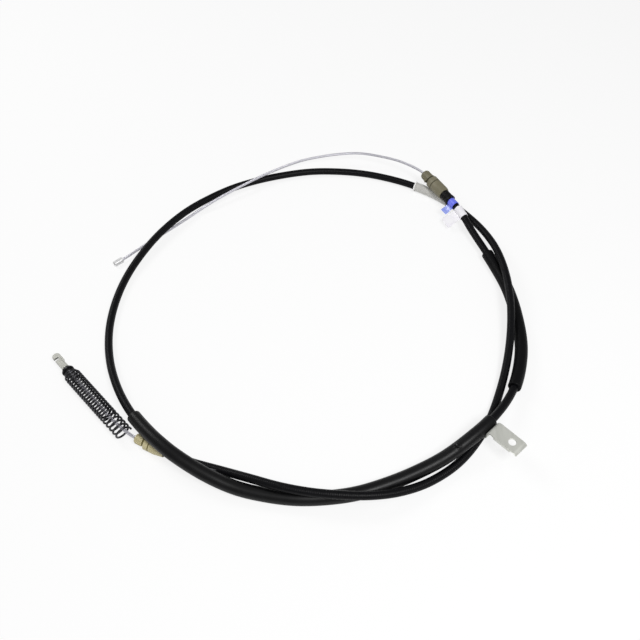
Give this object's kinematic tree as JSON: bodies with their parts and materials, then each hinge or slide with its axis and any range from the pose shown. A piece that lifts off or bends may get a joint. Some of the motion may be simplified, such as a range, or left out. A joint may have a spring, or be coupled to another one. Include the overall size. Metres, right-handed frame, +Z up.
{
  "type": "parking brake cable",
  "caption": "Coiled parking brake cable with a bare wire and nipple at the front, a sprung hook at the rear, snap-in fittings and a folded bracket.",
  "frame": {"origin": "on the floor under the middle of the coils' bounding box", "axes": "+Z up from the floor the coils lie on, +Y from the camera's side of the coil to its far side, +X to the right, towards the mounting bracket"},
  "size_m": [0.4802, 0.4574, 0.0272],
  "materials": {
    "cable_wire": "zinc-plated strands",
    "liner_plastic": "smooth",
    "armour_wire": "wound flat wire",
    "jacket_plastic": "satin black",
    "sleeve_rubber": "matte black",
    "tube_paint": "satin black paint",
    "milky_plastic": "translucent, milky",
    "olive_nylon": "moulded, satin",
    "seal_rubber": "matte black",
    "ferrule_steel": "zinc-plated, crimped",
    "collar_rubber": "matte black",
    "blue_tape": "thin film tape",
    "label_paper": "smooth, blank",
    "beige_nylon": "moulded, satin",
    "plated_sheet": "bright zinc plating, faint streaks",
    "die_cast": "light grey die casting",
    "spring_steel": "black, half gloss",
    "ferrule_grey": "dull grey, swaged",
    "seat_steel": "black",
    "hook_steel": "grey plated"
  },
  "bodies": {
    "conduit_and_wire": {"inner_cable": "cable_wire", "conduit_liner": "liner_plastic", "conduit_armour": "armour_wire", "conduit_jacket": "jacket_plastic", "front_sleeve": "sleeve_rubber", "guide_tube": "tube_paint", "locating_sleeve": "milky_plastic", "front_fitting": "olive_nylon", "front_seal": "seal_rubber", "front_ferrule": "ferrule_steel", "front_collar": "collar_rubber", "marker_tape": "blue_tape", "paper_label": "label_paper", "rear_fitting": "beige_nylon", "rear_seal": "seal_rubber", "rear_ferrule": "ferrule_steel", "mounting_bracket": "plated_sheet"},
    "rear_end": {"rear_hook": "hook_steel", "hook_ferrule": "ferrule_grey", "spring_seat": "seat_steel", "return_spring": "spring_steel"},
    "front_end": {"front_nipple": "die_cast"}
  },
  "joints": [
    {"name": "rear_pull", "type": "slide", "parent": "conduit_and_wire", "child": "rear_end", "axis": [0.891, -0.454, 0], "range_m": [0, 0.02], "stiffness_N_per_m": 2000, "deforming": ["inner_cable", "return_spring"]},
    {"name": "front_feed", "type": "slide", "parent": "conduit_and_wire", "child": "front_end", "axis": [-0.7431, -0.6691, 0], "range_m": [0, 0.02], "deforming": ["inner_cable"]}
  ],
  "couplings": [
    {"joint": "front_feed", "follows": "rear_pull", "ratio": 1}
  ]
}
